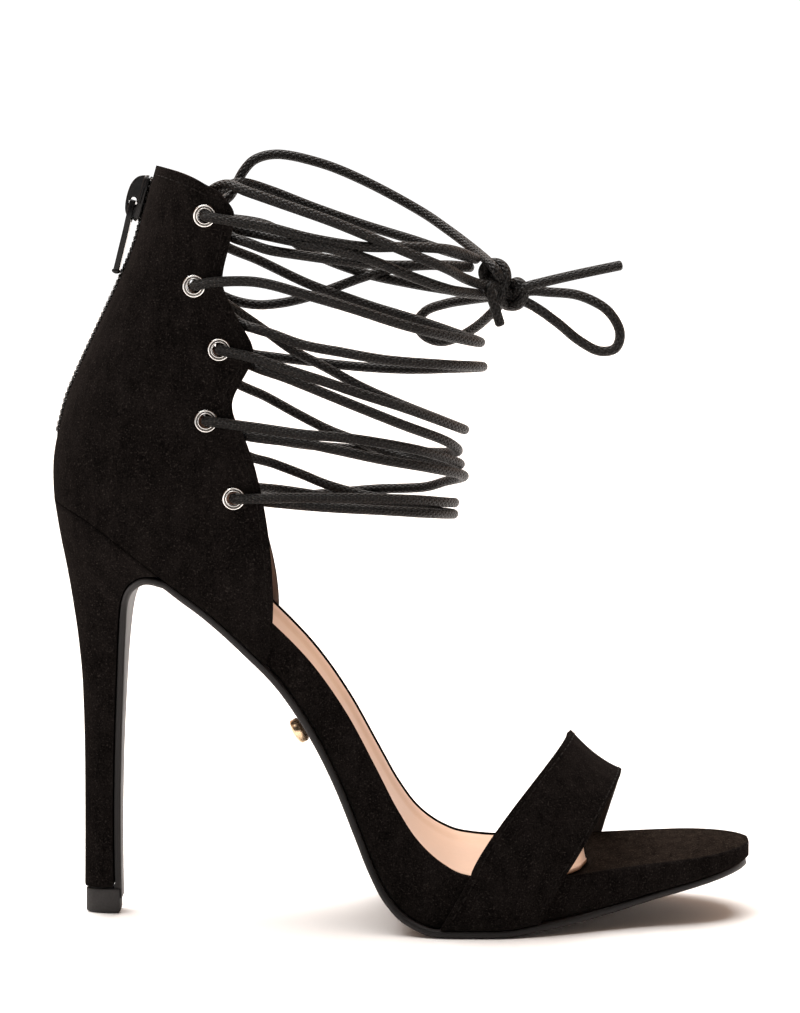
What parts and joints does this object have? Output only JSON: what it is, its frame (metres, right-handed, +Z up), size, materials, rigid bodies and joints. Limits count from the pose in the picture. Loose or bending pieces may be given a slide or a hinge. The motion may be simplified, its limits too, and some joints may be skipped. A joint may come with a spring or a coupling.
{
  "type": "lace-up stiletto sandal",
  "caption": "Open-toe stiletto sandal with a wide toe strap, a zipped heel cuff and a round cord laced through eyelets round the ankle.",
  "frame": {"origin": "on the floor under the middle of the shoe's box, without the bow's free cords", "axes": "+X to the toe, +Y to the inner (medial) side of the right foot, +Z up"},
  "size_m": [0.2016, 0.0774, 0.2223],
  "materials": {
    "suede": "black faux suede, matt nap",
    "sole": "smooth, half gloss",
    "tip_rubber": "matt",
    "lining": "tan, fine grain, soft sheen",
    "nickel": "bright nickel plate",
    "zip_coil": "matt",
    "dark_metal": "glossy black",
    "gold": "polished",
    "waxed_cord": "waxed braid"
  },
  "bodies": {
    "shoe": {"outsole": "sole", "heel": "suede", "heel_tip": "tip_rubber", "footbed": "suede", "insole": "lining", "toe_strap": "suede", "counter": "suede", "eyelet_lateral_1": "nickel", "eyelet_lateral_2": "nickel", "eyelet_lateral_3": "nickel", "eyelet_lateral_4": "nickel", "eyelet_lateral_5": "nickel", "eyelet_medial_1": "nickel", "eyelet_medial_2": "nickel", "eyelet_medial_3": "nickel", "eyelet_medial_4": "nickel", "eyelet_medial_5": "nickel", "zip_chain": "zip_coil", "zip_slider": "dark_metal", "sole_stud": "gold", "lace_crossing_5_4": "waxed_cord", "lace_crossing_4_3": "waxed_cord", "lace_crossing_3_2": "waxed_cord", "lace_crossing_2_1": "waxed_cord", "lace_knot": "waxed_cord", "lace_loop_front": "waxed_cord", "lace_loop_back": "waxed_cord", "lace_end_upper": "waxed_cord", "lace_end_lower": "waxed_cord"},
    "zip_pull": {"zip_pull": "dark_metal"}
  },
  "joints": [
    {"name": "zip_pull_hinge", "type": "hinge", "parent": "shoe", "child": "zip_pull", "pos_m": [-0.07713, -0.00063, 0.20674], "axis": [0, 1, 0], "range_deg": [0, 150]}
  ]
}
